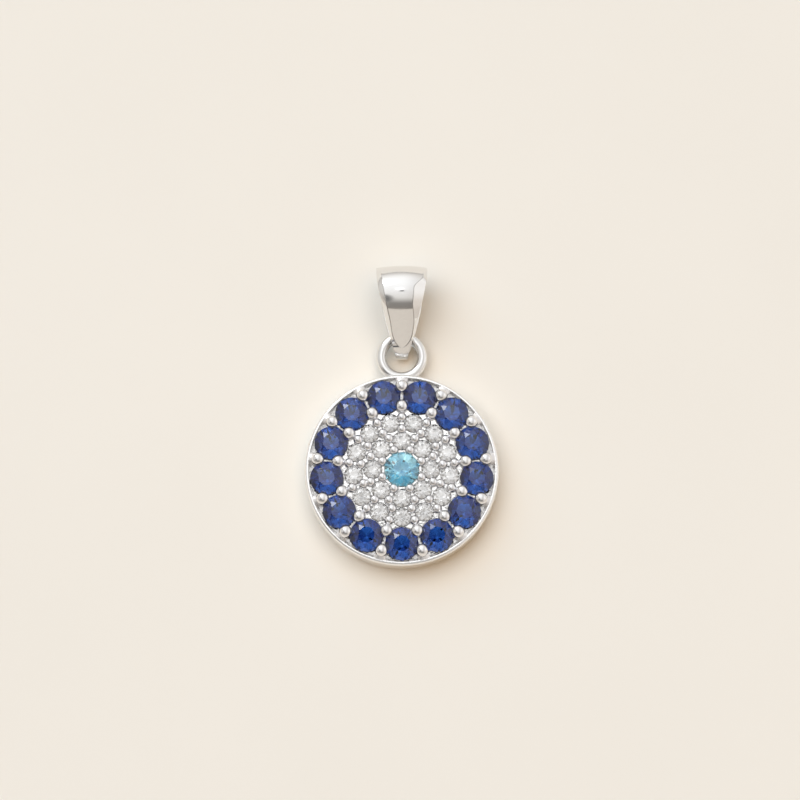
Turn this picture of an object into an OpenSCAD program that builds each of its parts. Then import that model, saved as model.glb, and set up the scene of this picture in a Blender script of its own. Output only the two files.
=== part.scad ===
// Evil eye pendant: a round bead-set disc in four colours of stone, with a ring and a tapered bail.
// The disc lies on its flat back. The origin is the centre of that back, +Z comes up out of the
// stones and +Y points to the ring and the bail. All sizes are in millimetres.

/* [Stones] */
// Diameter of each blue stone
blue_d = 2.0; // [1.8:0.05:2.2]
// Diameter of the pale blue stone in the middle
aqua_d = 2.05; // [1.8:0.05:2.15]
// Diameter of each clear stone
clear_d = 1.1; // [0.9:0.05:1.12]
// Least gap between neighbouring blue stones
blue_gap = 0.16; // [0.12:0.02:0.4]
// Gap between the blue stones and the ring of clear stones inside them
blue_clear_gap = 0.063; // [0.05:0.01:0.14]
// Gap between the middle stone and the ring of clear stones round it
aqua_clear_gap = 0.165; // [0.12:0.005:0.19]
// Room all round a stone in its seat
seat_clearance = 0.01; // [0.005:0.005:0.02]

/* [Disc] */
// Height of the rim above the flat back
disc_h = 1.6; // [1.5:0.05:2.2]
// Width of the flat top of the rim
rim_top_w = 0.09; // [0.06:0.01:0.3]
// How far the outer wall swells beyond the top of the rim
rim_flare = 0.14; // [0.08:0.01:0.25]
// Radius of the edge between the outer wall and the back
back_round = 0.2; // [0.1:0.02:0.3]
// Gap between the blue stones and the inside of the rim
rim_gap = 0.06; // [0.04:0.01:0.3]
// How far the top of the plate lies below the top of the rim
plate_drop = 0.05; // [0.02:0.01:0.15]

/* [Beads] */
// Diameter of the beads that hold the blue stones
blue_bead_d = 0.66; // [0.56:0.02:0.7]
// Diameter of the beads that hold the other stones
small_bead_d = 0.48; // [0.4:0.02:0.52]
// How far the inner blue beads lap over the stones
inner_lap = 0.12; // [0.06:0.01:0.14]
// How far the outer blue beads lap over the stones
outer_lap = 0.06; // [0.04:0.01:0.12]
// How far the small beads lap over the stones
small_lap = 0.02; // [0.02:0.005:0.04]

/* [Ring] */
// Hole of the soldered ring
ring_hole_d = 1.84; // [1.6:0.05:2.6]
// Thickness of the ring's wire
ring_wire_d = 0.63; // [0.5:0.02:0.8]
// Metal of the ring that shows between its hole and the disc
ring_neck = 0.3; // [0.22:0.02:0.45]

/* [Bail] */
// Length of the bail, from its closed lower end to its top
bail_l = 5.48; // [5:0.1:8]
// Height of the bail's wide upper end
bail_h = 3.6; // [3:0.1:4.4]
// Height of the bail's narrow lower end
bail_end_h = 1.44; // [1.4:0.02:1.9]
// Width of the bail at its top
bail_w = 3.08; // [2.4:0.02:4]
// Width of the bail at its lower end
bail_end_w = 0.7; // [0.5:0.02:0.9]
// Thickness of the bail's metal
bail_t = 0.36; // [0.25:0.01:0.38]
// Width of the bevel along each side of the bail's face
bail_bevel_w = 0.2; // [0.1:0.01:0.3]
// Depth of that bevel
bail_bevel_h = 0.13; // [0.05:0.01:0.2]
// Rise of the bail's face along its middle
bail_dome = 0.06; // [0:0.01:0.12]
// Length of the bail that hangs inside the ring's hole
bail_reach = 1.04; // [0.95:0.01:1.2]

/* [Hidden] */
blue_n = 13;
inner_clear_n = 8;
$fn = 64;

// The round brilliant cut, as shares of a stone's diameter
cut_table = 0.56;
cut_crown = 0.15;
cut_girdle = 0.03;
cut_pavilion = 0.42;
// How far down the crown the star facets end, and up the pavilion the long lower facets end
cut_star = 0.45;
cut_lower = 0.77;

// Rings of stones and the disc round them. The blue ring is as small as its own stones and the two
// rings of clear stones inside it allow.
clear_ring_gap = 0.05;
inner_clear_r = aqua_d / 2 + aqua_clear_gap + clear_d / 2;
clear_rings_r = inner_clear_r + clear_d + clear_ring_gap + clear_d / 2;
blue_r = max(ring_radius(blue_d + blue_gap, blue_n), clear_rings_r + blue_clear_gap + blue_d / 2);
rim_in_r = blue_r + blue_d / 2 + rim_gap;
rim_out_r = rim_in_r + rim_top_w;
disc_r = rim_out_r + rim_flare;
outer_clear_r = blue_r - blue_d / 2 - blue_clear_gap - clear_d / 2;

// Heights of the plate and of the stones' girdles
plate_z = disc_h - plate_drop;
blue_girdle_z = disc_h + 0.05;
clear_girdle_z = plate_z + 0.05;
shelf_z = plate_z - 0.16;
groove_z = plate_z - 0.4;

// The lower shelf in the corners between the blue stones, and the groove inside the rim
shelf_w = 0.62;
groove_w = 0.15;
gusset_w = 0.2;
gusset_drop = 0.1;

// Light holes below the stones, as a share of the stone's diameter. The middle one is closed at the
// back, this far below the stone's tip.
light_hole = 0.56;
aqua_floor_gap = 0.1;

// Radii on which the beads stand. A bead's centre lies this far from the axis of the stones it holds.
inner_bead_reach = (blue_d + blue_bead_d) / 2 - inner_lap;
outer_bead_reach = (blue_d + blue_bead_d) / 2 - outer_lap;
small_bead_reach = (clear_d + small_bead_d) / 2 - small_lap;
blue_inner_bead_r = bead_radius(blue_r, blue_n, inner_bead_reach, blue_bead_d, -1);
blue_outer_bead_r = bead_radius(blue_r, blue_n, outer_bead_reach, blue_bead_d, 1);
outer_clear_bead_in_r = bead_radius(outer_clear_r, blue_n, small_bead_reach, small_bead_d, -1);
outer_clear_bead_out_r = bead_radius(outer_clear_r, blue_n, small_bead_reach, small_bead_d, 1);
inner_clear_bead_r = bead_radius(inner_clear_r, inner_clear_n, small_bead_reach, small_bead_d, 1);
aqua_bead_r = (aqua_d + small_bead_d) / 2 - small_lap;
blue_bead_z = blue_girdle_z + 0.05;
small_bead_z = clear_girdle_z + 0.03;
bead_post_share = 0.8;

// The soldered ring lies in the plane of the disc, level with the middle of its wall
ring_r = (ring_hole_d + ring_wire_d) / 2;
ring_y = disc_r + ring_neck + ring_hole_d / 2;
ring_z = disc_h / 2;

// The bail's side outline is two circles of different height on one floor, with a straight leg on
// each side. Its small end hangs in the ring's hole.
bail_end_r = bail_end_h / 2;
bail_top_r = bail_h / 2;
bail_bottom_y = ring_y + ring_hole_d / 2 - bail_reach;
bail_end_y = bail_bottom_y + bail_end_r;
bail_top_y = bail_bottom_y + bail_l - bail_top_r;
bail_slope = 2 * atan((bail_top_r - bail_end_r) / (bail_top_y - bail_end_y));
bail_end_steps = 14;
bail_leg_steps = 7;
bail_top_steps = 26;

blue_names = [for (i = [1:blue_n]) str("blue_stone_", i)];
outer_clear_names = [for (i = [1:blue_n]) str("outer_clear_stone_", i)];
inner_clear_names = [for (i = [1:inner_clear_n]) str("inner_clear_stone_", i)];
metal_names = ["plate", "soldered_ring", "bail"];

// Radius of a ring of n places that lie one pitch apart
function ring_radius(pitch, n) = pitch / (2 * sin(180 / n));

// Radius of a bead between two neighbours of a ring of n stones, at the given reach from both. The
// side is 1 outside the ring and -1 inside it, and the two beads of a gap never run into each other.
function bead_radius(r, n, reach, bead_d, side) =
    let (half_pitch = r * sin(180 / n))
    r * cos(180 / n) + side * sqrt(max(pow(reach, 2) - pow(half_pitch, 2), pow(bead_d / 2, 2)));

// Angle of the blue and outer clear stones, one of which is at the bottom, and of the gaps between them
function blue_angle(i) = -90 + i * 360 / blue_n;
function blue_gap_angle(i) = blue_angle(i + 0.5);
function inner_angle(i) = i * 360 / inner_clear_n;
function inner_gap_angle(i) = inner_angle(i + 0.5);

// Heights and radii of the cut, from the middle of the girdle. Eight main facets run from the girdle
// to the table and to the tip, and the corners between them stand out by this factor.
main_n = 8;
corner_out = 1 / cos(180 / main_n);
function girdle_top(d) = cut_girdle * d / 2;
function table_z(d) = girdle_top(d) + cut_crown * d;
function star_z(d) = table_z(d) - cut_star * cut_crown * d;
function star_r(d) = corner_out * (cut_table + (1 - cut_table) * cut_star) * d / 2;
function tip_z(d) = -girdle_top(d) - cut_pavilion * d;
function lower_z(d) = tip_z(d) + (1 - cut_lower) * cut_pavilion * d;
function lower_r(d) = corner_out * (1 - cut_lower) * d / 2;

// n points of a level circle, the first turned by the given share of a step
function level(r, z, n, turn) = [for (k = [0:n - 1]) let (a = (k + turn) * 360 / n) [r * cos(a), r * sin(a), z]];

module brilliant(d) {
    m = main_n;
    g = 2 * m;
    // Points, level by level: table, star corners, two rows of the girdle, lower corners and tip
    table0 = 0;
    star0 = m;
    top0 = 2 * m;
    bottom0 = top0 + g;
    lower0 = bottom0 + g;
    tip = lower0 + m;
    points = concat(
        level(cut_table * d / 2, table_z(d), m, 0),
        level(star_r(d), star_z(d), m, 0.5),
        level(d / 2, girdle_top(d), g, 0),
        level(d / 2, -girdle_top(d), g, 0),
        level(lower_r(d), lower_z(d), m, 0.5),
        [[0, 0, tip_z(d)]]);
    faces = concat(
        [[for (k = [m - 1:-1:0]) table0 + k]],
        [for (k = [0:m - 1]) [table0 + k, table0 + (k + 1) % m, star0 + k]],
        [for (k = [0:m - 1]) [table0 + k, star0 + k, top0 + 2 * k, star0 + (k + m - 1) % m]],
        [for (k = [0:m - 1], s = [0, 1]) [star0 + k, top0 + (2 * k + 1 + s) % g, top0 + 2 * k + s]],
        [for (k = [0:g - 1]) [top0 + k, top0 + (k + 1) % g, bottom0 + (k + 1) % g, bottom0 + k]],
        [for (k = [0:m - 1], s = [0, 1]) [lower0 + k, bottom0 + 2 * k + s, bottom0 + (2 * k + 1 + s) % g]],
        [for (k = [0:m - 1]) [tip, lower0 + (k + m - 1) % m, bottom0 + 2 * k, lower0 + k]]);
    polyhedron(points, faces);
}

// The space that a stone and its seat take out of the metal: a light hole below, a seat that follows
// the pavilion, and the stone's own outline above it, which also trims the beads. The light hole
// goes through the back unless it is given a floor.
module seat(d, girdle_z, floor_z = -1) {
    c = seat_clearance;
    hole_r = light_hole * d / 2;
    seat_r = d / 2 + c;
    slope = (lower_z(d) + girdle_top(d)) / (lower_r(d) - d / 2);
    hole_z = girdle_z - girdle_top(d) - c - slope * (seat_r - hole_r);
    rotate_extrude() polygon([
        [0, floor_z], [hole_r, floor_z], [hole_r, hole_z],
        [seat_r, girdle_z - girdle_top(d) - c], [seat_r, girdle_z + girdle_top(d) + c],
        [star_r(d) + c, girdle_z + star_z(d) + c], [cut_table * d / 2 + c, girdle_z + table_z(d) + c],
        [cut_table * d / 2 + c, girdle_z + d], [0, girdle_z + d]]);
}

module at_polar(r, angle, z = 0) {
    rotate([0, 0, angle]) translate([r, 0, z]) children();
}

// Disc, rim, groove and shelf, turned about the disc's axis
module disc() {
    arc_steps = 6;
    shoulder_z = disc_h * 0.75;
    back_arc = [for (k = [0:arc_steps]) let (a = 90 - k * 90 / arc_steps)
        [disc_r - back_round + back_round * cos(a), back_round - back_round * sin(a)]];
    flare_arc = [for (k = [0:arc_steps]) let (a = k * 90 / arc_steps)
        [rim_out_r + rim_flare * cos(a), shoulder_z + (disc_h - shoulder_z) * sin(a)]];
    rotate_extrude() polygon(concat([[0, 0]], back_arc, flare_arc, [
        [rim_in_r, disc_h], [rim_in_r, groove_z],
        [rim_in_r - groove_w, groove_z], [rim_in_r - groove_w, shelf_z],
        [rim_in_r - shelf_w, shelf_z], [rim_in_r - shelf_w, plate_z], [0, plate_z]]));
}

module bead(r, angle, z, d) {
    at_polar(r, angle, z) sphere(d = d);
}

// An outer blue bead stands on a post, which a gusset joins to the rim
module posted_bead(angle) {
    post_z = groove_z - gusset_drop;
    bead(blue_outer_bead_r, angle, blue_bead_z, blue_bead_d);
    at_polar(blue_outer_bead_r, angle, post_z) {
        cylinder(d = bead_post_share * blue_bead_d, h = blue_bead_z - post_z);
        translate([0, -gusset_w / 2, 0])
            cube([rim_in_r + rim_top_w / 2 - blue_outer_bead_r, gusset_w, plate_z - gusset_drop - post_z]);
    }
}

module beads() {
    for (i = [0:blue_n - 1]) {
        a = blue_gap_angle(i);
        posted_bead(a);
        bead(blue_inner_bead_r, a, blue_bead_z, blue_bead_d);
        bead(outer_clear_bead_in_r, a, small_bead_z, small_bead_d);
        bead(outer_clear_bead_out_r, a, small_bead_z, small_bead_d);
    }
    for (i = [0:inner_clear_n - 1]) {
        a = inner_gap_angle(i);
        bead(inner_clear_bead_r, a, small_bead_z, small_bead_d);
        bead(aqua_bead_r, a, small_bead_z, small_bead_d);
    }
}

module plate() {
    color([0.86, 0.86, 0.85])
    difference() {
        union() {
            disc();
            beads();
        }
        seat(aqua_d, blue_girdle_z, blue_girdle_z + tip_z(aqua_d) - aqua_floor_gap);
        for (i = [0:blue_n - 1]) {
            at_polar(blue_r, blue_angle(i)) seat(blue_d, blue_girdle_z);
            at_polar(outer_clear_r, blue_angle(i)) seat(clear_d, clear_girdle_z);
        }
        for (i = [0:inner_clear_n - 1])
            at_polar(inner_clear_r, inner_angle(i)) seat(clear_d, clear_girdle_z);
    }
}

// The ring's foot is hollowed to the disc's wall, face to face with it, and soldered there
module soldered_ring() {
    color([0.86, 0.86, 0.85])
    difference() {
        translate([0, ring_y, ring_z]) rotate_extrude() translate([ring_r, 0]) circle(d = ring_wire_d);
        cylinder(r = disc_r, h = disc_h);
    }
}

// A station of the bail: [y, z, angle of the outward normal from +Y]
function arc_stations(y, r, from, to, n) =
    [for (k = [0:n]) let (a = from + (to - from) * k / n) [y + r * cos(a), r + r * sin(a), a]];
function leg_stations(p, q, n) =
    [for (k = [1:n - 1]) [p[0] + (q[0] - p[0]) * k / n, p[1] + (q[1] - p[1]) * k / n, q[2]]];

// Half the bail's width, which grows in a curve from its lower end to its top
function bail_half_w(y) =
    (bail_end_w + (bail_w - bail_end_w) * sin(90 * max(0, min(1, (y - bail_bottom_y) / bail_l)))) / 2;

// The bail's section at a station, from one inner corner over the bevelled face to the other. The
// face is domed where it looks up and flat where the bail lies on its back.
function bail_section(s) =
    let (w = bail_half_w(s[0]), f = w - min(bail_bevel_w, w / 2),
        dome = bail_dome * f / (bail_w / 2) * max(0, sin(s[2])))
    [for (p = [[-w, -bail_t], [-w, -bail_bevel_h], [-f, 0], [-f / 2, dome * 0.75], [0, dome],
            [f / 2, dome * 0.75], [f, 0], [w, -bail_bevel_h], [w, -bail_t]])
        [p[0], s[0] + p[1] * cos(s[2]), s[1] + p[1] * sin(s[2])]];

module bail() {
    end_arc = arc_stations(bail_end_y, bail_end_r, 270, 90 + bail_slope, bail_end_steps);
    top_arc = arc_stations(bail_top_y, bail_top_r, 90 + bail_slope, -90, bail_top_steps);
    front_leg = leg_stations(end_arc[bail_end_steps], top_arc[0], bail_leg_steps);
    back_leg = leg_stations(top_arc[bail_top_steps], end_arc[0], bail_leg_steps);
    stations = concat(end_arc, front_leg, top_arc, back_leg);
    n = len(stations);
    sections = [for (s = stations) bail_section(s)];
    m = len(sections[0]);
    points = [for (s = sections, p = s) p];
    // Two triangles for each patch between neighbouring stations
    faces = [for (i = [0:n - 1], j = [0:m - 1], half = [0, 1])
        let (a = i * m + j, b = i * m + (j + 1) % m, c = ((i + 1) % n) * m + (j + 1) % m,
            d = ((i + 1) % n) * m + j)
        half == 0 ? [a, b, c] : [a, c, d]];
    color([0.86, 0.86, 0.85]) polyhedron(points, faces);
}

module aqua_stone() {
    color([0.45, 0.78, 0.88]) translate([0, 0, blue_girdle_z]) brilliant(aqua_d);
}

module blue_stone(i) {
    color([0.05, 0.1, 0.42]) at_polar(blue_r, blue_angle(i - 1), blue_girdle_z) brilliant(blue_d);
}

module outer_clear_stone(i) {
    color([0.93, 0.93, 0.92]) at_polar(outer_clear_r, blue_angle(i - 1), clear_girdle_z) brilliant(clear_d);
}

module inner_clear_stone(i) {
    color([0.93, 0.93, 0.92]) at_polar(inner_clear_r, inner_angle(i - 1), clear_girdle_z) brilliant(clear_d);
}

plate();
soldered_ring();
bail();
aqua_stone();
for (i = [1:blue_n]) {
    blue_stone(i);
    outer_clear_stone(i);
}
for (i = [1:inner_clear_n])
    inner_clear_stone(i);
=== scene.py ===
import math
import random

import bmesh
import bpy
from mathutils import Matrix, Vector


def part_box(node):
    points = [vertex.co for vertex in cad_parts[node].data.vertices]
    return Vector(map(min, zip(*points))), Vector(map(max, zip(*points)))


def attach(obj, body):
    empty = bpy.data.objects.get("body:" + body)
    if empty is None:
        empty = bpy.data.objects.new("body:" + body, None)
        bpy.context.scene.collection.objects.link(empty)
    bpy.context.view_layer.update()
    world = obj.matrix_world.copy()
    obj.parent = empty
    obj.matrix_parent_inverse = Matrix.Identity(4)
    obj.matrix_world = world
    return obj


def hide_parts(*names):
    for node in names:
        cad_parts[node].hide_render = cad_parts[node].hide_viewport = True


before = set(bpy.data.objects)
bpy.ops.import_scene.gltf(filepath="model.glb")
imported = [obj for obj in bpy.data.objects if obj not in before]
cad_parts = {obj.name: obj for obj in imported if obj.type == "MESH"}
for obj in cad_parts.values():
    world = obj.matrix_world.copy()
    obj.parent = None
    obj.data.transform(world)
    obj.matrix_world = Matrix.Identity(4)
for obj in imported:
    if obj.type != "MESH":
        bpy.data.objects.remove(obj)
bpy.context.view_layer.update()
MM = 0.001


# Plate
# A round disc of cast sterling silver, 1.6 mm thick, with a thin raised rim round its face. Each stone
# has a seat turned into it, with a countersunk edge and a light hole through the back. The wall and
# the rim are polished, and the recess inside the rim keeps the rough skin of the casting, with its
# colour greyed by painted shade.
def linked(name, mesh):
    """A new piece with the mesh, in the scene."""
    piece = bpy.data.objects.new(name, mesh)
    bpy.context.scene.collection.objects.link(piece)
    return piece


def mesh_of(name, verts, faces):
    """A mesh from points in millimetres."""
    mesh = bpy.data.meshes.new(name)
    mesh.from_pydata([(x * MM, y * MM, z * MM) for x, y, z in verts], [], faces)
    return mesh


def turned(name, profile, steps, centre=(0.0, 0.0)):
    """A closed piece turned from (radius, height) points, with a flat face at each end."""
    verts, faces = [], []
    for r, z in profile:
        for k in range(steps):
            a = 2 * math.pi * k / steps
            verts.append((centre[0] + r * math.cos(a), centre[1] + r * math.sin(a), z))
    for i in range(len(profile) - 1):
        for k in range(steps):
            n = (k + 1) % steps
            faces.append((i * steps + k, i * steps + n, (i + 1) * steps + n, (i + 1) * steps + k))
    faces.append(tuple(range(steps - 1, -1, -1)))
    faces.append(tuple(range((len(profile) - 1) * steps, len(profile) * steps)))
    return linked(name, mesh_of(name, verts, faces))


def arc(centre_r, centre_z, radius_r, radius_z, start, end, steps):
    """Points of a quarter or other arc of a profile, angles in degrees from +radius towards +height."""
    angles = [math.radians(start + (end - start) * k / steps) for k in range(steps + 1)]
    return [(centre_r + radius_r * math.cos(a), centre_z + radius_z * math.sin(a)) for a in angles]


def joined(name, pieces):
    """One piece with the meshes of all the pieces."""
    bm = bmesh.new()
    for piece in pieces:
        bm.from_mesh(piece.data)
        bpy.data.objects.remove(piece)
    mesh = bpy.data.meshes.new(name)
    bm.to_mesh(mesh)
    bm.free()
    return linked(name, mesh)


def cut_away(piece, cutter):
    """Cuts the cutter's space out of the piece's mesh, and deletes the cutter."""
    tool = piece.modifiers.new("cut", "BOOLEAN")
    tool.operation, tool.solver, tool.object = "DIFFERENCE", "EXACT", cutter
    bpy.context.view_layer.update()
    shaped = piece.evaluated_get(bpy.context.evaluated_depsgraph_get())
    mesh = bpy.data.meshes.new_from_object(shaped)
    piece.modifiers.clear()
    piece.data = mesh
    bpy.data.objects.remove(cutter)


def shade(piece, crease=30):
    """Smooth shading with the edges sharper than crease degrees left crisp."""
    piece.data.polygons.foreach_set("use_smooth", [True] * len(piece.data.polygons))
    piece.data.set_sharp_from_angle(angle=math.radians(crease))


def stones_of(kind, count):
    """Number, middle of the girdle and height of the table of each CAD stone of a kind."""
    found = []
    for i in range(1, count + 1):
        low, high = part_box(f"{kind}_{i}" if count > 1 else kind)
        found.append((i, (low.x + high.x) / 2 / MM, (low.y + high.y) / 2 / MM, high.z / MM))
    return found


blue_count, inner_count = 13, 8
blue_d, aqua_d, clear_d = 2.0, 2.05, 1.1
blue_stones = stones_of("blue_stone", blue_count)
outer_stones = stones_of("outer_clear_stone", blue_count)
inner_stones = stones_of("inner_clear_stone", inner_count)
aqua_stones = stones_of("aqua_stone", 1)
blue_r = math.hypot(*blue_stones[0][1:3])
outer_r = math.hypot(*outer_stones[0][1:3])
inner_r = math.hypot(*inner_stones[0][1:3])

rim_h, plate_z = 1.6, 1.55
stone_to_rim, rim_top_w = 0.06, 0.09
shoulder_w, shoulder_h, back_round, wall_z = 0.14, 0.24, 0.2, 0.7
rim_in_r = blue_r + blue_d / 2 + stone_to_rim
rim_out_r = rim_in_r + rim_top_w
disc_r = rim_out_r + shoulder_w
shelf_drop, shelf_w, groove_drop, groove_w = 0.16, 0.62, 0.4, 0.15
shelf_z, groove_z = plate_z - shelf_drop, plate_z - groove_drop
shelf_r, groove_r = rim_in_r - shelf_w, rim_in_r - groove_w
edge, middle_r = 0.022, 0.3

plate_profile = (
    [(middle_r, 0.0)]
    + arc(disc_r - back_round, back_round, back_round, back_round, -90, 0, 8)
    + [(disc_r, wall_z)]
    + arc(rim_out_r, rim_h - shoulder_h, disc_r - rim_out_r, shoulder_h, 0, 90, 14)
    + arc(rim_in_r + edge, rim_h - edge, edge, edge, 90, 180, 5)
    + [(rim_in_r, groove_z), (groove_r, groove_z), (groove_r, shelf_z)]
    + [(shelf_r, shelf_z), (shelf_r, plate_z - edge), (shelf_r - edge, plate_z), (middle_r, plate_z)]
)
plate = turned("set_plate", plate_profile, 240)

cut_crown, cut_girdle = 0.15, 0.03
hole_share, seat_gap, seat_slope, seat_lip = 0.28, 0.01, 0.861, 0.01
seat_ledge, blue_room, clear_room = 0.11, 0.055, 0.012
through_back, above_plate, blind_z = -1.0, 0.2, 0.66


def girdle_height(table_z, d):
    """Height of the middle of a stone's girdle."""
    return table_z - (cut_girdle / 2 + cut_crown) * d


def seat_tools(stones, d, room, floor_z=through_back):
    """What the seats of a kind of stone take out: a light hole, a cone and a little room all round."""
    tools = []
    for _, x, y, table_z in stones:
        hole, wall = hole_share * d, d / 2 + seat_gap
        cone_top = girdle_height(table_z, d) - cut_girdle * d / 2 - seat_gap
        ledge_z = plate_z - seat_ledge
        ledge_r = wall - (cone_top - ledge_z) / seat_slope
        profile = [(hole, floor_z), (hole, cone_top - seat_slope * (wall - hole)), (ledge_r, ledge_z)]
        profile += [(wall + room, ledge_z), (wall + room, plate_z - seat_lip)]
        profile += [(wall + room + seat_lip, plate_z), (wall + room, plate_z + above_plate)]
        tools.append(turned("seat", profile, 72 if d > clear_d else 48, (x, y)))
    return tools


tools = seat_tools(blue_stones, blue_d, blue_room)
tools += seat_tools(inner_stones, clear_d, clear_room)
tools += seat_tools(aqua_stones, aqua_d, clear_room, blind_z)
cut_away(plate, joined("seats", tools))
cut_away(plate, joined("outer_seats", seat_tools(outer_stones, clear_d, clear_room)))
shade(plate)


def new_material(name):
    """A material with its Principled shader and its node tree."""
    material = bpy.data.materials.new(name)
    material.use_nodes = True
    return material, material.node_tree.nodes["Principled BSDF"], material.node_tree


def feed(tree, socket, value):
    """Gives a node's input its number or colour, or joins another node's output to it."""
    if isinstance(value, bpy.types.NodeSocket):
        tree.links.new(value, socket)
    elif isinstance(value, tuple):
        socket.default_value = (*value, 1)
    else:
        socket.default_value = value


def reckoned(tree, operation, *values):
    """The result of a Math node."""
    node = tree.nodes.new("ShaderNodeMath")
    node.operation = operation
    for k, value in enumerate(values):
        feed(tree, node.inputs[k], value)
    return node.outputs["Value"]


def ranged(tree, value, low, high, to_low=0.0, to_high=1.0, kind="LINEAR"):
    """A value moved from the range low to high into the range to_low to to_high, and kept inside it."""
    node = tree.nodes.new("ShaderNodeMapRange")
    node.interpolation_type = kind
    feed(tree, node.inputs["Value"], value)
    for label, limit in (("From Min", low), ("From Max", high), ("To Min", to_low), ("To Max", to_high)):
        feed(tree, node.inputs[label], limit)
    return node.outputs["Result"]


def blended(tree, factor, first, second):
    """The first colour where the factor is 0, turning into the second where it is 1."""
    node = tree.nodes.new("ShaderNodeMix")
    node.data_type = "RGBA"
    feed(tree, node.inputs["Factor"], factor)
    feed(tree, node.inputs["A"], first)
    feed(tree, node.inputs["B"], second)
    return node.outputs["Result"]


def mottle(tree, scale, detail=2.0):
    """Random soft greys all over a piece."""
    texture = tree.nodes.new("ShaderNodeTexNoise")
    where = tree.nodes.new("ShaderNodeTexCoord")
    feed(tree, texture.inputs["Vector"], where.outputs["Object"])
    feed(tree, texture.inputs["Scale"], scale)
    feed(tree, texture.inputs["Detail"], detail)
    return texture.outputs["Fac"]


def effect_group(name, inputs, outputs):
    """A new node group with named inputs and outputs, and the sockets at its two ends."""
    group = bpy.data.node_groups.new(name, "ShaderNodeTree")
    for direction, sockets in (("INPUT", inputs), ("OUTPUT", outputs)):
        for label, kind in sockets:
            group.interface.new_socket(label, in_out=direction, socket_type=kind)
    return group, group.nodes.new("NodeGroupInput").outputs, group.nodes.new("NodeGroupOutput").inputs


def placed(tree, group, values):
    """The outputs of a node group that is placed in a material with its own values."""
    node = tree.nodes.new("ShaderNodeGroup")
    node.node_tree = group
    for label, value in values.items():
        feed(tree, node.inputs[label], value)
    return node.outputs


def polish_group():
    """Polished metal: soft waves left by the polishing wheel, and faint dull patches."""
    number = "NodeSocketFloat"
    settings = [(label, number) for label in ("Wave Scale", "Grain Scale", "Least Dull", "Most Dull")]
    group, given, made = effect_group("polish", settings, [("Roughness", number), ("Height", number)])
    waves, grain = mottle(group, given["Wave Scale"], 1.0), mottle(group, given["Grain Scale"], 3.0)
    dull = ranged(group, grain, *grain_range, given["Least Dull"], given["Most Dull"])
    feed(group, made["Roughness"], dull)
    feed(group, made["Height"], reckoned(group, "MULTIPLY_ADD", grain, grain_share, waves))
    return group


grain_share, grain_range = 0.12, (0.35, 0.7)
mean_height = (1 + grain_share) / 2
polish = polish_group()
recess_z, recess_edge, edge_blend = (1.34, 1.6), 0.02, 0.01
# The first colour is painted shade, which greys the recess and what lies below the plate's face.
painted_recess_shade, polished_off = (0.58, 0.572, 0.567), 0.96


def silver(name, colour, waves, dullness, recess_r=None):
    """Rhodium-plated silver. Waves are the scales of the polish group's waves and grain and their depth
    in metres, and dullness is its least and its most. Within the recess's radius and below the plate's
    face the colour is greyed with painted shade, and the waves keep their whole depth, because no wheel
    has reached them."""
    material, shader, tree = new_material(name)
    wave_scale, grain_scale, depth = waves
    least, most = dullness
    finish = placed(tree, polish, {
        "Wave Scale": wave_scale, "Grain Scale": grain_scale, "Least Dull": least, "Most Dull": most,
    })
    height = finish["Height"]
    feed(tree, shader.inputs["Base Color"], colour)
    if recess_r:
        where, split = tree.nodes.new("ShaderNodeTexCoord"), tree.nodes.new("ShaderNodeSeparateXYZ")
        feed(tree, split.inputs["Vector"], where.outputs["Object"])
        x, y, z = split.outputs
        r = reckoned(tree, "SQRT", reckoned(tree, "MULTIPLY_ADD", x, x, reckoned(tree, "MULTIPLY", y, y)))
        face = ranged(tree, z, recess_z[0] * MM, recess_z[1] * MM, kind="SMOOTHSTEP")
        rim = ranged(tree, r, recess_r * MM, (recess_r + edge_blend) * MM)
        polished_and_unshaded = reckoned(tree, "MAXIMUM", face, rim)
        # Painted shade: inside the recess and below the plate's face the colour turns grey.
        feed(tree, shader.inputs["Base Color"], blended(tree, polished_and_unshaded, painted_recess_shade, colour))
        kept = reckoned(tree, "MULTIPLY_ADD", polished_and_unshaded, -polished_off, 1.0)
        height = reckoned(tree, "MULTIPLY", reckoned(tree, "SUBTRACT", height, mean_height), kept)
    bump = tree.nodes.new("ShaderNodeBump")
    feed(tree, bump.inputs["Distance"], depth)
    feed(tree, bump.inputs["Height"], height)
    feed(tree, shader.inputs["Normal"], bump.outputs["Normal"])
    feed(tree, shader.inputs["Roughness"], finish["Roughness"])
    shader.inputs["Metallic"].default_value = 1.0
    return material


cast_silver = silver(
    "cast_silver", (0.92, 0.912, 0.902), (5200, 16000, 4e-5), (0.035, 0.24), rim_in_r + recess_edge
)


def put_on(piece, material, slot, *nodes):
    """Gives the piece its material, hangs it under the root body, and hides the CAD nodes it stands for."""
    piece.data.materials.clear()
    piece.data.materials.append(material)
    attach(piece, "root")
    if nodes:
        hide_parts(*nodes)


put_on(plate, cast_silver, "silver", "plate")


# Beads
# Small domes of silver raised from the plate and pushed over the edges of the stones to hold them.
# Two sit in each gap between blue stones, and smaller ones stand round the clear and aqua stones.
neck_share, ball_top = 0.68, 87


def bead(d, angle, r, z, foot_z):
    """A ball on a short neck, at a radius and an angle in degrees on the plate."""
    neck = neck_share * d / 2
    ball = arc(0, z, d / 2, d / 2, -math.degrees(math.acos(neck_share)), ball_top, 16)
    a = math.radians(angle)
    return turned("bead", [(neck, foot_z)] + ball, 32, (r * math.cos(a), r * math.sin(a)))


def bead_radius(ring_r, count, reach, side):
    """Radius of a bead at that reach from the two stones of a ring that it holds."""
    half_pitch = ring_r * math.sin(math.pi / count)
    return ring_r * math.cos(math.pi / count) + side * math.sqrt(reach**2 - half_pitch**2)


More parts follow.
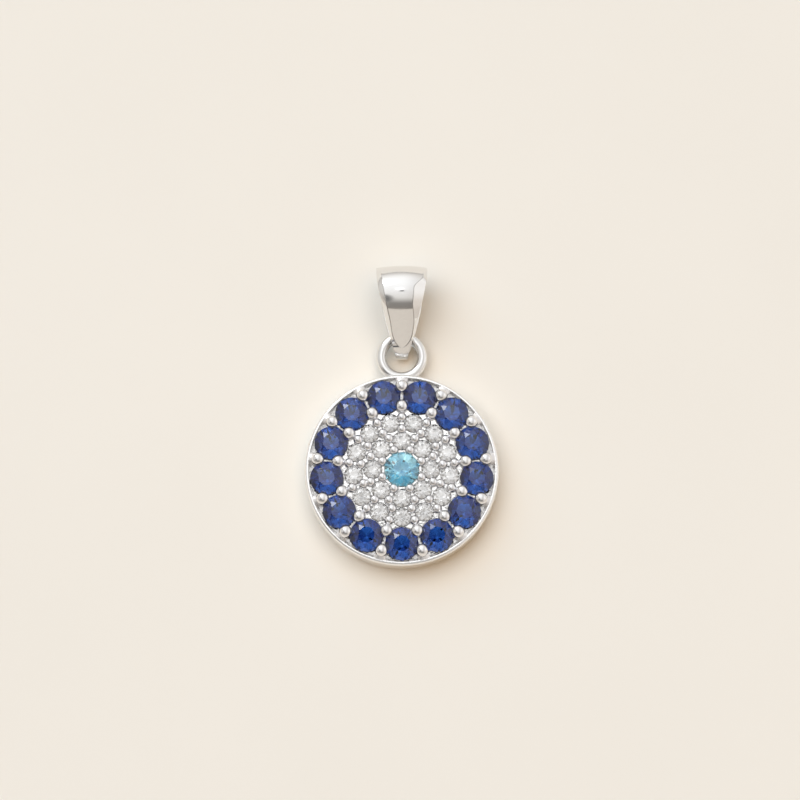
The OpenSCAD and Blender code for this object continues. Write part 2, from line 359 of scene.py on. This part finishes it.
blue_bead_d, small_bead_d = 0.8, 0.6
blue_bead_z, small_bead_z = 1.7, 1.63
blue_in_reach, blue_out_reach = 1.21, 1.27
bead_root, overlap = 0.1, 0.07
foot_z = plate_z - bead_root
small_reach = (clear_d + small_bead_d) / 2 - overlap
aqua_bead_r = (aqua_d + small_bead_d) / 2 - overlap
gap_angles = [-90 + (i + 0.5) * 360 / blue_count for i in range(blue_count)]
inner_gap_angles = [(i + 0.5) * 360 / inner_count for i in range(inner_count)]
blue_in_r = bead_radius(blue_r, blue_count, blue_in_reach, -1)
blue_out_r = bead_radius(blue_r, blue_count, blue_out_reach, 1)
bright_silver = silver("bright_silver", (0.87, 0.87, 0.885), (700, 6000, 3e-6), (0.035, 0.08))

balls = [bead(blue_bead_d, a, blue_in_r, blue_bead_z, foot_z) for a in gap_angles]
balls += [bead(blue_bead_d, a, blue_out_r, blue_bead_z, groove_z) for a in gap_angles]
blue_beads = joined("blue_beads", balls)

balls = []
for r in (bead_radius(outer_r, blue_count, small_reach, side) for side in (-1, 1)):
    balls += [bead(small_bead_d, a, r, small_bead_z, foot_z) for a in gap_angles]
for r in (bead_radius(inner_r, inner_count, small_reach, 1), aqua_bead_r):
    balls += [bead(small_bead_d, a, r, small_bead_z, foot_z) for a in inner_gap_angles]
small_beads = joined("small_beads", balls)

for beads in (blue_beads, small_beads):
    shade(beads, 50)
    put_on(beads, bright_silver, "silver")


# Gussets
# Short webs of silver that join the post of each outer bead to the inside of the rim. They are part
# of the casting, widen towards the rim and keep a duller skin than the beads.
bead_lap, rim_lap, gusset_sink = 0.05, 0.03, 0.02
gusset_half, gusset_flare = 0.27, 0.13
gusset_rise, gusset_fall, gusset_round = 0.14, 0.2, 0.12


def gusset(angle, stations=6, half_steps=5):
    """A wedge that widens and falls from the bead to the rim, with a rounded top."""
    inner, outer = blue_out_r - bead_lap, rim_in_r + rim_lap
    foot = groove_z - gusset_sink
    turn = math.radians(angle)
    verts, faces = [], []
    for i in range(stations + 1):
        share = i / stations
        r = inner + (outer - inner) * share
        half = gusset_half + gusset_flare * share**2
        top = blue_bead_z + gusset_rise - gusset_fall * share
        sides = [k / half_steps for k in range(-half_steps, half_steps + 1)]
        ring = [(-half, foot)] + [(half * s, top - gusset_round * s**2) for s in sides] + [(half, foot)]
        for side, z in ring:
            x = r * math.cos(turn) - side * math.sin(turn)
            y = r * math.sin(turn) + side * math.cos(turn)
            verts.append((x, y, z))
    n = 2 * half_steps + 3
    for i in range(stations):
        for k in range(n):
            faces.append((i * n + k, (i + 1) * n + k, (i + 1) * n + (k + 1) % n, i * n + (k + 1) % n))
    faces.append(tuple(range(n)))
    faces.append(tuple(range((stations + 1) * n - 1, stations * n - 1, -1)))
    return linked("gusset", mesh_of("gusset", verts, faces))


gussets = joined("gussets", [gusset(a) for a in gap_angles])
shade(gussets, 40)
dull_silver = silver("dull_silver", (0.86, 0.84, 0.835), (2400, 9000, 1e-5), (0.2, 0.5))
put_on(gussets, dull_silver, "silver")


# Soldered ring
# A ring of round silver wire in the plate's own plane. It is soldered to the edge of the plate, and
# its wire runs a little into the edge. It is polished with the bail.
hole_r, wire_r, hole_to_edge = 0.92, 0.315, 0.3
ring_y, ring_z = disc_r + hole_to_edge + hole_r, rim_h / 2


def wire_ring(name, around=96, section=32):
    """A closed ring of round wire that lies flat."""
    verts, faces = [], []
    for i in range(around):
        a = 2 * math.pi * i / around
        for j in range(section):
            b = 2 * math.pi * j / section
            r = hole_r + wire_r + wire_r * math.cos(b)
            verts.append((r * math.cos(a), ring_y + r * math.sin(a), ring_z + wire_r * math.sin(b)))
            n, m = (i + 1) % around, (j + 1) % section
            faces.append((i * section + j, n * section + j, n * section + m, i * section + m))
    return linked(name, mesh_of(name, verts, faces))


soldered_ring = wire_ring("wire_ring")
shade(soldered_ring)
loop_silver = silver("loop_silver", (0.85, 0.842, 0.832), (700, 6000, 2e-6), (0.1, 0.15))
put_on(soldered_ring, loop_silver, "silver", "soldered_ring")


# Stones
# Round brilliants cut from cubic zirconia and coloured glass: a table, eight star facets, eight main
# facets and sixteen upper facets above the girdle, and sixteen lower and eight main facets below it.
cut_table, cut_pavilion, star, lower = 0.5, 0.42, 0.45, 0.77
zone_range = (0.36, 0.64)


def brilliant(name, d, sides):
    """A round brilliant about the middle of its girdle, ground facet by facet from a round bar."""
    r, belt = d / 2, cut_girdle * d / 2
    out = 1 / math.cos(math.pi / 8)
    table_z, tip_z = belt + cut_crown * d, -belt - cut_pavilion * d
    star_z, star_r = table_z - star * cut_crown * d, out * (cut_table + (1 - cut_table) * star) * r
    lower_z, lower_r = tip_z + (1 - lower) * cut_pavilion * d, out * (1 - lower) * r
    bm = bmesh.new()
    bmesh.ops.create_cone(bm, cap_ends=True, segments=sides, radius1=r, radius2=r, depth=4 * d)

    def point(radius, z, turn):
        """A corner of the cut, turned by that many sixteenths of a round."""
        a = turn * math.pi / 8
        return Vector((radius * math.cos(a), radius * math.sin(a), z))

    def grind(a, b, c):
        """Takes off what is outside the plane through three points, which leaves a facet there."""
        normal = (b - a).cross(c - a).normalized()
        if normal.dot(a) < 0:
            normal.negate()
        everything = bm.verts[:] + bm.edges[:] + bm.faces[:]
        made = bmesh.ops.bisect_plane(
            bm, geom=everything, dist=1e-6, plane_co=a, plane_no=normal, clear_outer=True
        )
        rim = [e for e in made["geom_cut"] if isinstance(e, bmesh.types.BMEdge)]
        bmesh.ops.contextual_create(bm, geom=rim)

    grind(point(1, table_z, 0), point(1, table_z, 4), point(1, table_z, 8))
    tip = point(0, tip_z, 0)
    for k in range(0, 16, 2):
        star_point, lower_point = point(star_r, star_z, k + 1), point(lower_r, lower_z, k + 1)
        grind(point(r, belt, k), star_point, point(star_r, star_z, k - 1))
        grind(tip, lower_point, point(lower_r, lower_z, k - 1))
        grind(point(cut_table * r, table_z, k), point(cut_table * r, table_z, k + 2), star_point)
        for end in (k, k + 2):
            grind(star_point, point(r, belt, k + 1), point(r, belt, end))
            grind(lower_point, point(r, -belt, k + 1), point(r, -belt, end))
    bmesh.ops.remove_doubles(bm, verts=bm.verts, dist=2e-4)
    bmesh.ops.recalc_face_normals(bm, faces=bm.faces)
    bmesh.ops.scale(bm, vec=(MM, MM, MM), verts=bm.verts)
    mesh = bpy.data.meshes.new(name)
    bm.to_mesh(mesh)
    bm.free()
    return mesh


def stone_colour_group():
    """Colour of a cut stone with its painted sparkle: each facet has its own painted brightness, standing in
    for the light it reflects, and this drifts a little from zone to zone.
    """
    number, colour = "NodeSocketFloat", "NodeSocketColor"
    settings = [("Deep", colour), ("Pale", colour), ("Zone Scale", number), ("Zone Share", number)]
    group, given, made = effect_group("stone_colour_and_sparkle", settings, [("Color", colour)])
    facet = group.nodes.new("ShaderNodeAttribute")
    facet.attribute_name = "painted_facet_light"
    zones = ranged(group, mottle(group, given["Zone Scale"]), *zone_range, -1.0, 1.0)
    tone = reckoned(group, "MULTIPLY_ADD", zones, given["Zone Share"], facet.outputs["Fac"])
    tone.node.use_clamp = True
    feed(group, made["Color"], blended(group, tone, given["Deep"], given["Pale"]))
    return group


stone_colour_and_sparkle = stone_colour_group()


def gem(name, deep, pale, refraction, zone_scale, zone_share):
    """Transparent stone whose colour lies between deep and pale, as each facet's painted light chooses."""
    material, shader, tree = new_material(name)
    cut = placed(tree, stone_colour_and_sparkle, {
        "Deep": deep, "Pale": pale, "Zone Scale": zone_scale, "Zone Share": zone_share,
    })
    feed(tree, shader.inputs["Base Color"], cut["Color"])
    shader.inputs["Roughness"].default_value = 0.0
    shader.inputs["IOR"].default_value = refraction
    shader.inputs["Transmission Weight"].default_value = 1.0
    return material


# Deep and pale are the two ends of the painted facet light. The clear stone's grey deep is painted shade in
# its dark facets.
blue_glass = gem("blue_glass", (0.0012, 0.006, 0.08), (0.04, 0.2, 0.82), 1.76, 1500, 0.06)
clear_crystal = gem("clear_crystal", (0.56, 0.554, 0.55), (1.0, 1.0, 1.0), 2.3, 6500, 0.9)
aqua_glass = gem("aqua_glass", (0.02, 0.22, 0.42), (0.47, 0.9, 1.0), 1.85, 1100, 0.12)

draw = random.Random(7)
table_up, crown_up, glow_from = 0.99, 0.05, 0.25
stray_lean = 0.35


def paint_facet_light(mesh, y, d, table_tone, dim_tone, bright_tone, painted_glow):
    """Gives each facet a painted brightness from dark to bright, standing in for the light it reflects. Glow
    is a painted brightening of the lower side, standing in for the flash of light there.
    """
    tones = mesh.attributes.new("painted_facet_light", "FLOAT", "FACE").data
    for facet in mesh.polygons:
        low_side = (y * MM - facet.center.y) / (d / 2 * MM)
        if facet.normal.z > table_up:
            tone = table_tone
        elif facet.normal.z > crown_up:
            tone = dim_tone + (bright_tone - dim_tone) * draw.random() ** 2
            tone += painted_glow * max(0, low_side - glow_from)
        else:
            tone = (dim_tone + bright_tone) / 2
        tones[facet.index].value = tone


def set_stones(kind, stones, d, sides, material, slot, lean, *tones):
    """Puts one brilliant into each seat of a kind, turned its own way and leaning outward a little."""
    mesh = brilliant(kind, d, sides)
    mesh.polygons.foreach_set("use_smooth", [False] * len(mesh.polygons))
    for i, x, y, table_z in stones:
        turn = Matrix.Rotation(draw.uniform(0, math.pi / 4), 4, "Z")
        outward = math.radians(lean) * Vector((-y, x, 0)).normalized()
        outward += math.radians(stray_lean) * Vector((draw.uniform(-1, 1), draw.uniform(-1, 1), 0))
        turn = Matrix.Rotation(outward.length, 4, outward.normalized()) @ turn
        place = Matrix.Translation((x * MM, y * MM, girdle_height(table_z, d) * MM))
        piece = linked(f"{kind}_brilliant_{i}", mesh.copy())
        piece.data.transform(place @ turn)
        paint_facet_light(piece.data, y, d, *tones)
        put_on(piece, material, slot, f"{kind}_{i}" if len(stones) > 1 else kind)


# The last four numbers are painted light: the table's tone, the dimmest and brightest facets' tones, and the
# painted glow of the lower side.
set_stones("blue_stone", blue_stones, blue_d, 64, blue_glass, "blue_stone", 1.2, 0.42, 0.0, 0.2, 0.9)
for kind, stones in (("outer_clear_stone", outer_stones), ("inner_clear_stone", inner_stones)):
    set_stones(kind, stones, clear_d, 32, clear_crystal, "clear_stone", 0.4, 0.85, 0.25, 1.9, 0)
set_stones("aqua_stone", aqua_stones, aqua_d, 64, aqua_glass, "aqua_stone", 0.4, 0.1, 0.2, 2.4, 1.0)


# Bail
# A tapered band of silver bent into a loop and closed inside the ring's hole. Its face is gently domed
# between two bevels, of which the right one widens towards the top, and ends in a round tip. A fine
# line is cut along the edge of each bevel.
bail_low, bail_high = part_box("bail")
bail_y, bail_l = bail_low.y / MM, (bail_high.y - bail_low.y) / MM
top_w, end_w, thick, back_narrowing = 3.08, 0.7, 0.36, 0.1
end_r, top_r = 0.72, 1.8
end_y, top_y = bail_y + end_r, bail_y + bail_l - top_r
quarter = math.pi / 2
front_start = quarter + 2 * math.atan((top_r - end_r) / (top_y - end_y))

crown, dome_curve, line_w, line_h, line_soft = 0.045, 0.1, 0.055, 0.065, 0.004
left_bevel, right_bevel, bevel_slope = 0.32, 0.26, 0.5
wide_bevel, widening, top_narrowing = 0.46, (-2.0, -0.3), (0.95, 0.1)
end_bevel, end_narrowing = 0.15, (2.2, 0.6)
face_end, face_round, least_face = 0.57, 0.73, 0.03
side_h, side_round, side_lift, least_wall, inside_dome = 0.12, 0.03, 0.01, 0.05, 0.25
under_range, front_range, tip_from = (0, 0.7), (-0.5, 0.87), -0.2
line_range, line_room = (50, 60), 0.15


def eased(value, start, end):
    """0 at the start and 1 at the end, with a soft change between."""
    share = min(1.0, max(0.0, (value - start) / (end - start)))
    return share * share * (3 - 2 * share)


def bend(y, r, start, end, steps):
    """Stations (y, z, angle) round a bend of the band that rests on the card."""
    angles = [start + (end - start) * k / steps for k in range(steps + 1)]
    return [(y + r * math.cos(a), r + r * math.sin(a), a) for a in angles]


def leg(start, end, steps):
    """Stations along the straight band between two bends, with the angle of the second."""
    (y, z, _), (last_y, last_z, a) = start, end
    shares = [k / steps for k in range(1, steps)]
    return [(y + (last_y - y) * s, z + (last_z - z) * s, a) for s in shares]


def bail_section(y, z, a):
    """Points round the band at a station, from (across, outward) sizes square to the band."""
    share = min(1.0, max(0.0, (y - bail_y) / bail_l))
    w = (end_w + (top_w - end_w) * math.sin(quarter * share)) / 2
    w *= 1 - back_narrowing * eased(-math.sin(a), *under_range)
    front = eased(math.sin(a), *front_range)
    widened = eased(y, top_y + widening[0], top_y + widening[1])
    widened *= eased(y, top_y + top_narrowing[0], top_y + top_narrowing[1])
    narrowed = end_bevel * eased(y, bail_y + end_narrowing[0], bail_y + end_narrowing[1])
    bevels = left_bevel - narrowed, right_bevel + wide_bevel * widened - narrowed
    closing = 1.0
    if math.sin(a) > tip_from:
        rest = min(1.0, max(0.0, 1 - (y - bail_y - face_end) / face_round))
        closing = max(least_face, math.sqrt(1 - rest**2))
    left, right = ((w - min(bevel, w / 2)) * closing for bevel in bevels)
    middle, face = (right - left) / 2, (right + left) / 2
    top_n = crown * w / (top_w / 2) * front
    line = line_h * min(1.0, face / line_room) * eased(math.degrees(a), *line_range)
    inside = -thick - inside_dome * dome_curve * w * w * front

    def on_face(u):
        """Height of the domed face at a distance across."""
        return top_n - dome_curve * u * u * front

    def side_of(face_edge, bevel):
        """Points from the line at the edge of the face over the bevel and down the side."""
        low = on_face(face_edge)
        outer = low - bevel_slope * min(bevel, w / 2) * front
        foot = min(outer - side_h, least_wall - thick)
        return [
            (face_edge + line_w / 2, low - line),
            (face_edge + line_w, low - line_soft),
            (w - side_round, outer + side_lift * front),
            (w, outer - side_round),
            (w, foot + side_round),
            (w - side_round, foot),
            (0.5 * w, (inside + foot) / 2 if front > 0.5 else inside),
        ]

    across = [(middle + face * k / 10, on_face(middle + face * k / 10)) for k in range(-10, 11)]
    ring = across + side_of(right, bevels[1]) + [(0, inside)]
    ring += [(-u, n) for u, n in reversed(side_of(left, bevels[0]))]
    return [(u, y + n * math.cos(a), z + n * math.sin(a)) for u, n in ring]


def bail_mesh(name):
    """The closed band, from the end bend up the front leg, round the top bend and down the back."""
    end_bend = bend(end_y, end_r, 3 * quarter, front_start, 40)
    top_bend = bend(top_y, top_r, front_start, -quarter, 90)
    stations = end_bend + leg(end_bend[-1], top_bend[0], 60) + top_bend + leg(top_bend[-1], end_bend[0], 24)
    rings = [bail_section(*station) for station in stations]
    n, m = len(rings), len(rings[0])
    faces = []
    for i in range(n):
        for j in range(m):
            k, q = (i + 1) % n, (j + 1) % m
            faces.append((i * m + j, i * m + q, k * m + q, k * m + j))
    mesh = mesh_of(name, [p for ring in rings for p in ring], faces)
    bm = bmesh.new()
    bm.from_mesh(mesh)
    bmesh.ops.recalc_face_normals(bm, faces=bm.faces)
    bm.to_mesh(mesh)
    bm.free()
    return mesh


bail = linked("bail_loop", bail_mesh("bail_loop"))
shade(bail, 22)
put_on(bail, loop_silver, "silver", "bail")


# Floor
# A large sheet of smooth cream card that the pendant lies on. Its fibres make it a little lighter and
# darker from place to place.
half = 400
corners = [(-half, -half, 0), (half, -half, 0), (half, half, 0), (-half, half, 0)]
floor = linked("floor", mesh_of("floor", corners, [(0, 1, 2, 3)]))
card, card_shader, card_tree = new_material("card")
fibres = blended(card_tree, mottle(card_tree, 60), (0.83, 0.79, 0.71), (0.86, 0.82, 0.74))
feed(card_tree, card_shader.inputs["Base Color"], fibres)
card_shader.inputs["Roughness"].default_value = 0.75
card_shader.inputs["Specular IOR Level"].default_value = 0.2
floor.data.materials.append(card)


# Light and camera
# Soft studio light. Two large softboxes over the upper left light the card. A white tent gives the
# reflections: it is brightest behind the pendant, with a dim opening in front. The camera looks down
# from in front, almost from above.
def softbox(name, azimuth, elevation, power, colour, width=3.0, distance=2.0):
    """A square light for the floor, aimed at the pendant and out of sight of its reflections.
    Azimuth 0 is over +X and 90 over +Y."""
    light = bpy.data.lights.new(name, "AREA")
    light.shape, light.size = "SQUARE", width
    light.energy, light.color = power, colour
    lamp = linked(name, light)
    a, e = math.radians(azimuth), math.radians(elevation)
    away = Vector((math.cos(a) * math.cos(e), math.sin(a) * math.cos(e), math.sin(e)))
    middle = Vector((0, 0.003, 0.001))
    lamp.location = middle + away * distance
    lamp.rotation_mode = "QUATERNION"
    lamp.rotation_quaternion = away.to_track_quat("Z", "Y")
    lamp.visible_glossy = lamp.visible_transmission = False


softbox("key", 122, 50, 62.0, (0.55, 0.77, 1.0))
softbox("fill", 122, 84, 44.5, (1.0, 0.73, 0.476))


def panel_colour(tree, angle, stops):
    """Colour of a panel of the tent, whose stops are (degrees behind the zenith, colour)."""
    node = tree.nodes.new("ShaderNodeValToRGB")
    node.color_ramp.interpolation = "LINEAR"
    elements = node.color_ramp.elements
    for k, (degrees, colour) in enumerate(stops):
        spot = (degrees + 90) / 180
        element = elements[k] if k < 2 else elements.new(spot)
        element.position, element.color = spot, (*colour, 1)
    feed(tree, node.inputs["Fac"], angle)
    return node.outputs["Color"]


def tent(name, panels, opening, patches, backdrop):
    """A world for reflections. Each panel of the tent begins in a range of x and reaches to the right.
    The opening has soft edges in degrees behind the zenith and in x, then the x where its core begins
    and is full, and how dim it is outside and inside the core. Patches are round lamps or dark places."""
    world = bpy.data.worlds.new(name)
    world.use_nodes = True
    tree = world.node_tree
    where, split = tree.nodes.new("ShaderNodeTexCoord"), tree.nodes.new("ShaderNodeSeparateXYZ")
    feed(tree, split.inputs["Vector"], where.outputs["Generated"])
    x, y, z = split.outputs
    behind = reckoned(tree, "ARCTAN2", y, z)
    angle = reckoned(tree, "MULTIPLY_ADD", behind, 1 / math.pi, 0.5)
    colour = panel_colour(tree, angle, panels[0][2])
    for start, end, stops in panels[1:]:
        share = ranged(tree, x, start, end, kind="SMOOTHSTEP")
        colour = blended(tree, share, colour, panel_colour(tree, angle, stops))

    lengthwise, sideways, core, depth = opening
    edges = [(behind, math.radians(start), math.radians(end)) for start, end in lengthwise]
    edges += [(x, start, end) for start, end in sideways]
    dim = ranged(tree, reckoned(tree, "ABSOLUTE", x), *core, *depth, "SMOOTHSTEP")
    for value, start, end in edges:
        dim = reckoned(tree, "MULTIPLY", dim, ranged(tree, value, start, end, kind="SMOOTHSTEP"))
    colour = blended(tree, dim, colour, (0.0, 0.0, 0.0))

    for azimuth, elevation, radius, softness, shade_of in patches:
        a, e = math.radians(azimuth), math.radians(elevation)
        near = tree.nodes.new("ShaderNodeVectorMath")
        near.operation = "DOT_PRODUCT"
        near.inputs[1].default_value = (math.cos(a) * math.cos(e), math.sin(a) * math.cos(e), math.sin(e))
        feed(tree, near.inputs[0], where.outputs["Generated"])
        start, end = math.cos(math.radians(radius + softness)), math.cos(math.radians(radius))
        share = ranged(tree, near.outputs["Value"], start, end, kind="SMOOTHSTEP")
        colour = blended(tree, share, colour, shade_of)
    seen = tree.nodes.new("ShaderNodeLightPath")
    backed = blended(tree, seen.outputs["Is Camera Ray"], colour, backdrop)
    feed(tree, tree.nodes["Background"].inputs["Color"], backed)
    return world


left_panel = [
    (-90, (0.62, 0.56, 0.5)), (-60, (0.66, 0.6, 0.55)), (-20, (0.65, 0.62, 0.58)), (0, (0.68, 0.655, 0.625)),
    (14, (0.7, 0.68, 0.65)), (50, (0.72, 0.7, 0.67)), (76, (0.68, 0.65, 0.61)), (90, (0.46, 0.43, 0.4)),
]
middle_panel = [
    (-90, (0.76, 0.69, 0.61)), (-66, (0.78, 0.715, 0.64)), (-20, (0.84, 0.82, 0.79)), (0, (0.98, 0.97, 0.96)),
    (12, (1.08, 1.08, 1.08)), (38, (1.18, 1.19, 1.2)), (58, (1.18, 1.18, 1.18)), (68, (1.08, 1.07, 1.05)),
    (80, (0.84, 0.81, 0.78)), (90, (0.48, 0.45, 0.42)),
]
right_panel = [
    (-90, (0.68, 0.6, 0.53)), (-50, (0.7, 0.64, 0.58)), (0, (0.7, 0.67, 0.65)), (30, (0.8, 0.78, 0.77)),
    (60, (0.8, 0.78, 0.76)), (84, (0.7, 0.66, 0.62)), (90, (0.45, 0.42, 0.4)),
]
far_panel = [
    (-90, (0.7, 0.63, 0.56)), (-50, (0.84, 0.77, 0.7)), (0, (1.04, 1.01, 0.98)), (40, (1.08, 1.06, 1.04)),
    (84, (0.84, 0.81, 0.77)), (90, (0.5, 0.47, 0.44)),
]
panels = [(-1, -1, left_panel), (-0.68, -0.36, middle_panel), (0, 0.5, right_panel), (0.6, 0.85, far_panel)]
opening = (
    [(-66, -63), (-16, -44)],
    [(-0.99, -0.85), (0.64, 0.5)],
    (0.4, 0.26),
    (0.48, 0.66),
)
patches = [
    (100.9, 76.3, 3.6, 3.5, (1.6, 1.6, 1.6)),
    (118, 42, 10, 8, (1.42, 1.44, 1.46)),
    (124, 36, 6, 3, (6.0, 6.1, 6.2)),
    (90, 83.5, 2.8, 0.7, (0.02, 0.02, 0.02)),
    (-143, 54, 9, 11, (0.2, 0.195, 0.19)),
]
studio = tent("tent", panels, opening, patches, (0.86, 0.82, 0.74))
bpy.context.scene.world = studio
studio.cycles_visibility.diffuse = False

tilt = math.radians(11.7)
px_per_mm = 16.75
face_px = (401.8, 469.4)
photo_px = 800
face_z, distance = 1.6, 220.0
sensor_w = 36
toward = Vector((0, -math.sin(tilt), math.cos(tilt)))
upward = Vector((0, math.cos(tilt), math.sin(tilt)))
aim = Vector((0, 0, face_z))
aim += Vector((1, 0, 0)) * (photo_px / 2 - face_px[0]) / px_per_mm
aim += upward * (face_px[1] - photo_px / 2) / px_per_mm
camera = bpy.data.cameras.new("camera")
camera.sensor_width = sensor_w
camera.lens = sensor_w * distance / (photo_px / px_per_mm)
camera.clip_start = 0.01
viewer = linked("camera", camera)
viewer.location = (aim + toward * distance) * MM
viewer.rotation_mode = "QUATERNION"
viewer.rotation_quaternion = toward.to_track_quat("Z", "Y")
bpy.context.scene.camera = viewer
bpy.context.scene.view_settings.view_transform = "Standard"
